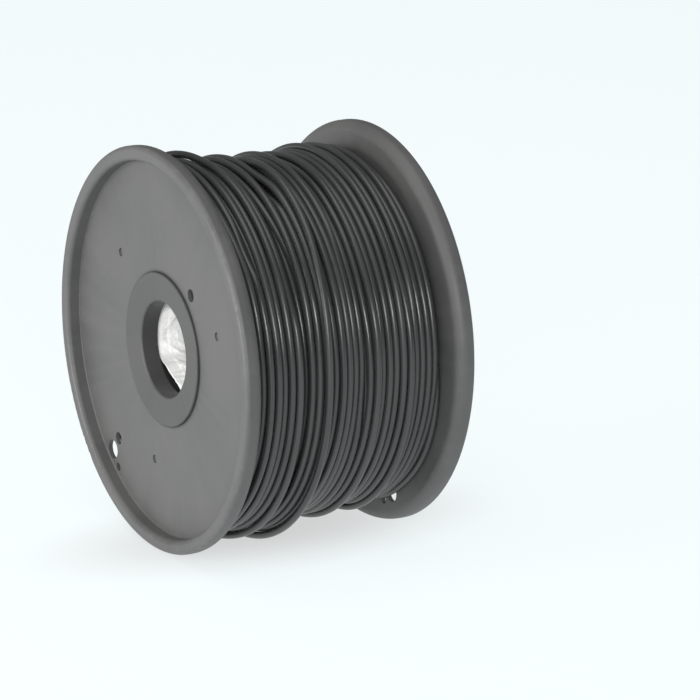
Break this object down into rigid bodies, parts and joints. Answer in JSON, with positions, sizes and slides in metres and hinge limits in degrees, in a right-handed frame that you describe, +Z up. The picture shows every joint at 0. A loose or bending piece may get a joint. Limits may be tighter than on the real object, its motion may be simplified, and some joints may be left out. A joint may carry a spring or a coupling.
{
  "type": "filament spool",
  "caption": "Round spool wound full of black plastic filament, with rimmed flanges, tie-off holes, a snap-together hub with a through bore, and a drying pouch inside the hub.",
  "frame": {"origin": "centre of the spool, on its axis, half way between the two rims", "axes": "+Y along the spool axis towards the rear flange, +Z up as the spool stands on its rims, +X to the right seen from the front flange"},
  "size_m": [0.165, 0.1025, 0.165],
  "materials": {
    "flange_plastic": "fine satin moulded grain, dark grey",
    "hub_plastic": "satin moulded plastic, dark grey",
    "core_plastic": "satin moulded plastic, dark grey",
    "filament": "glossy black extruded strand",
    "pouch_film": "white crumpled film, soft sheen",
    "drying_beads": "clear round beads"
  },
  "bodies": {
    "spool": {"front_flange": "flange_plastic", "rear_flange": "flange_plastic", "core_tube": "core_plastic", "front_hub_ring": "hub_plastic", "rear_hub_ring": "hub_plastic", "filament_winding": "filament"},
    "sachet": {"sachet_pouch": "pouch_film", "silica_beads": "drying_beads"}
  },
  "joints": [
    {"name": "sachet_slide", "type": "slide", "parent": "spool", "child": "sachet", "axis": [0, 1, 0], "range_m": [-0.0015, 0.0128]}
  ]
}
